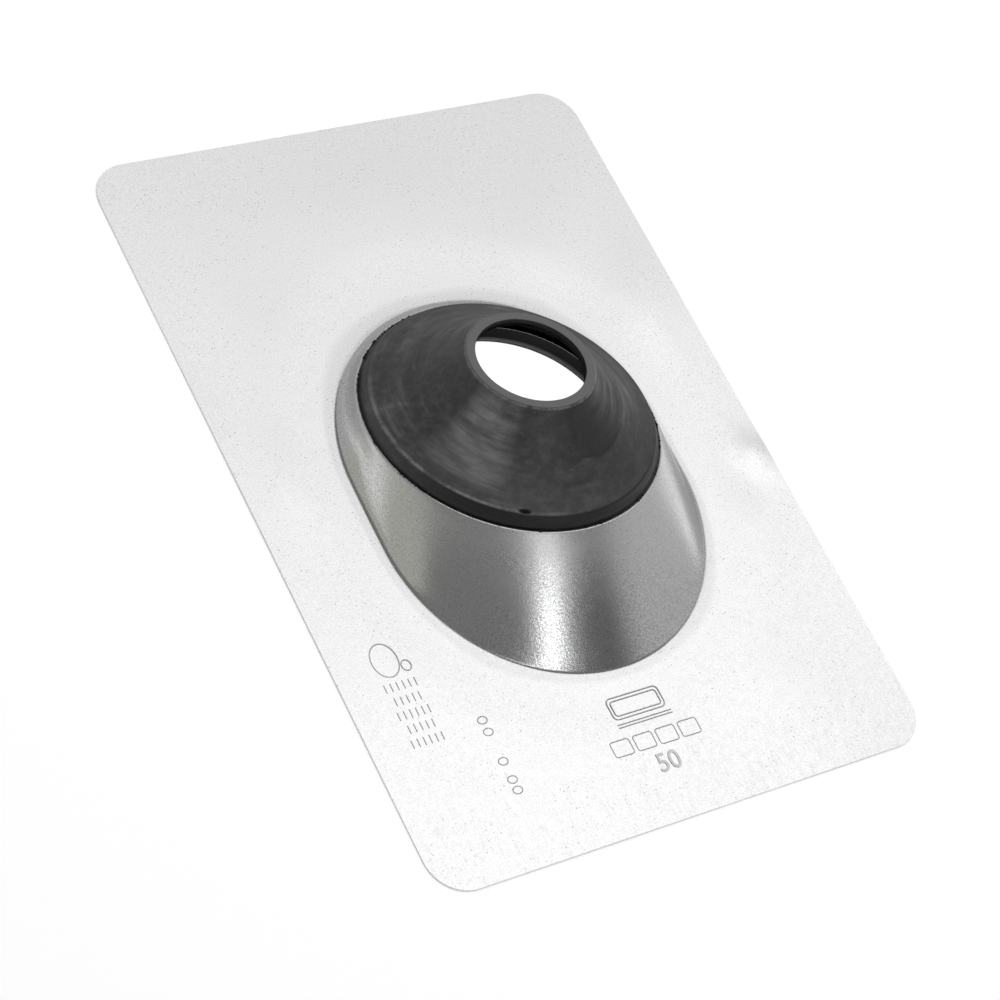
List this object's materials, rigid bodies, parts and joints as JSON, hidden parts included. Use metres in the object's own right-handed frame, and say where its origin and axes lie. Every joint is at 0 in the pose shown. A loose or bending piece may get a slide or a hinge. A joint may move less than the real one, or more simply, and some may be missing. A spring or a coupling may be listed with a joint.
{
  "type": "pipe flashing boot",
  "caption": "Roof flashing for a round vent pipe: flat sheet-steel plate with a drawn, tilted boss, topped by a moulded rubber collar that grips the pipe.",
  "frame": {"origin": "centre of the plate's underside, where it lies on the roof", "axes": "+Z square to the plate, towards the collar; +Y up the slope of the roof, along the plate's long side; +X across the roof"},
  "size_m": [0.2286, 0.324, 0.0492],
  "materials": {
    "galvanised_steel": "galvanised sheet, pale and lightly speckled, with a satin sheen",
    "rubber": "moulded black rubber, matt with a soft sheen"
  },
  "bodies": {
    "root": {"steel_flashing": "galvanised_steel", "rubber_collar": "rubber"}
  },
  "joints": []
}
